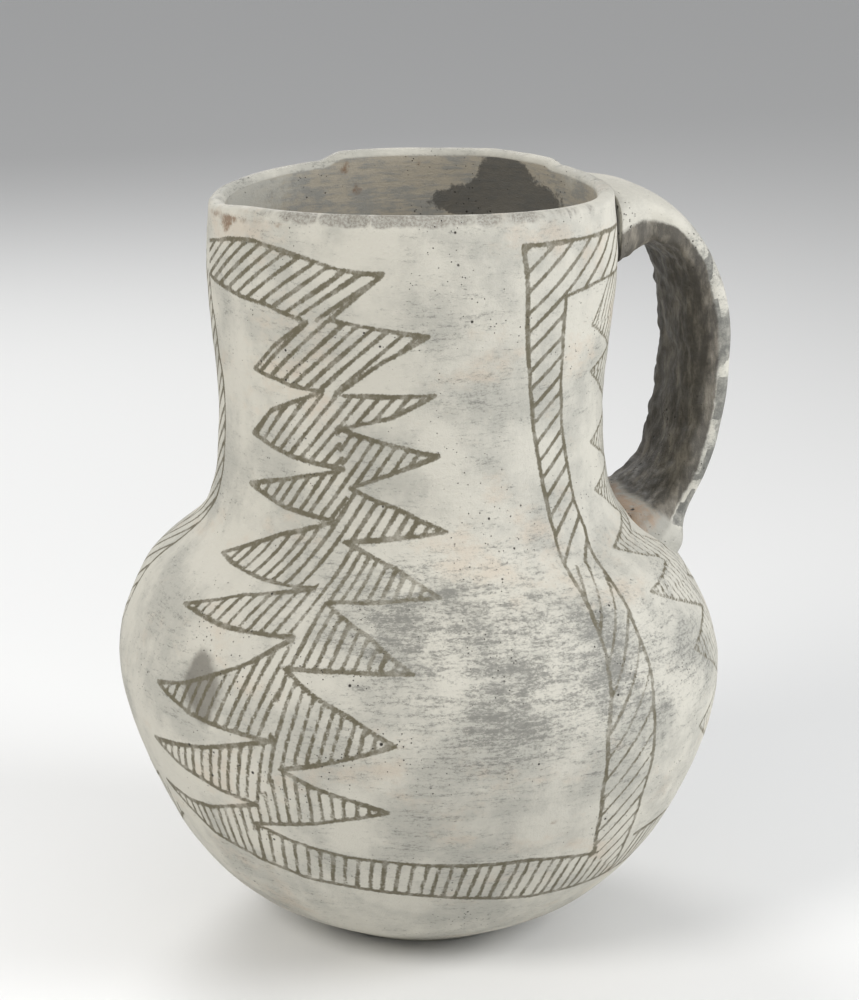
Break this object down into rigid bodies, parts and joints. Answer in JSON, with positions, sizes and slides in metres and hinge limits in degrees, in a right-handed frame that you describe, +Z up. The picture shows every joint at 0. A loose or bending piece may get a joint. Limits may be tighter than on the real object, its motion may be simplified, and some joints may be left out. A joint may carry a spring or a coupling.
{
  "type": "pottery pitcher",
  "caption": "Round-bellied pottery pitcher with a tall open neck and one strap handle from rim to shoulder; coil-built clay with painted hatched bands.",
  "frame": {"origin": "centre of the flat foot, on the surface that the pitcher stands on", "axes": "+Z up through the mouth, +X toward the handle's side, +Y to the back"},
  "size_m": [0.1404, 0.1384, 0.173],
  "materials": {
    "slipped_clay": "matt, polished white slip with dark mineral paint",
    "bare_clay": "matt, smeared clay"
  },
  "bodies": {
    "root": {"base_pat": "slipped_clay", "heel_course": "slipped_clay", "lower_bowl_course": "slipped_clay", "upper_bowl_course": "slipped_clay", "belly_course": "slipped_clay", "upper_belly_course": "slipped_clay", "shoulder_course": "slipped_clay", "collar_course": "slipped_clay", "lower_neck_course": "slipped_clay", "middle_neck_course": "slipped_clay", "upper_neck_course": "slipped_clay", "rim_coil": "slipped_clay", "strap_handle": "slipped_clay", "upper_handle_fillet": "bare_clay", "lower_handle_fillet": "bare_clay"}
  },
  "joints": []
}
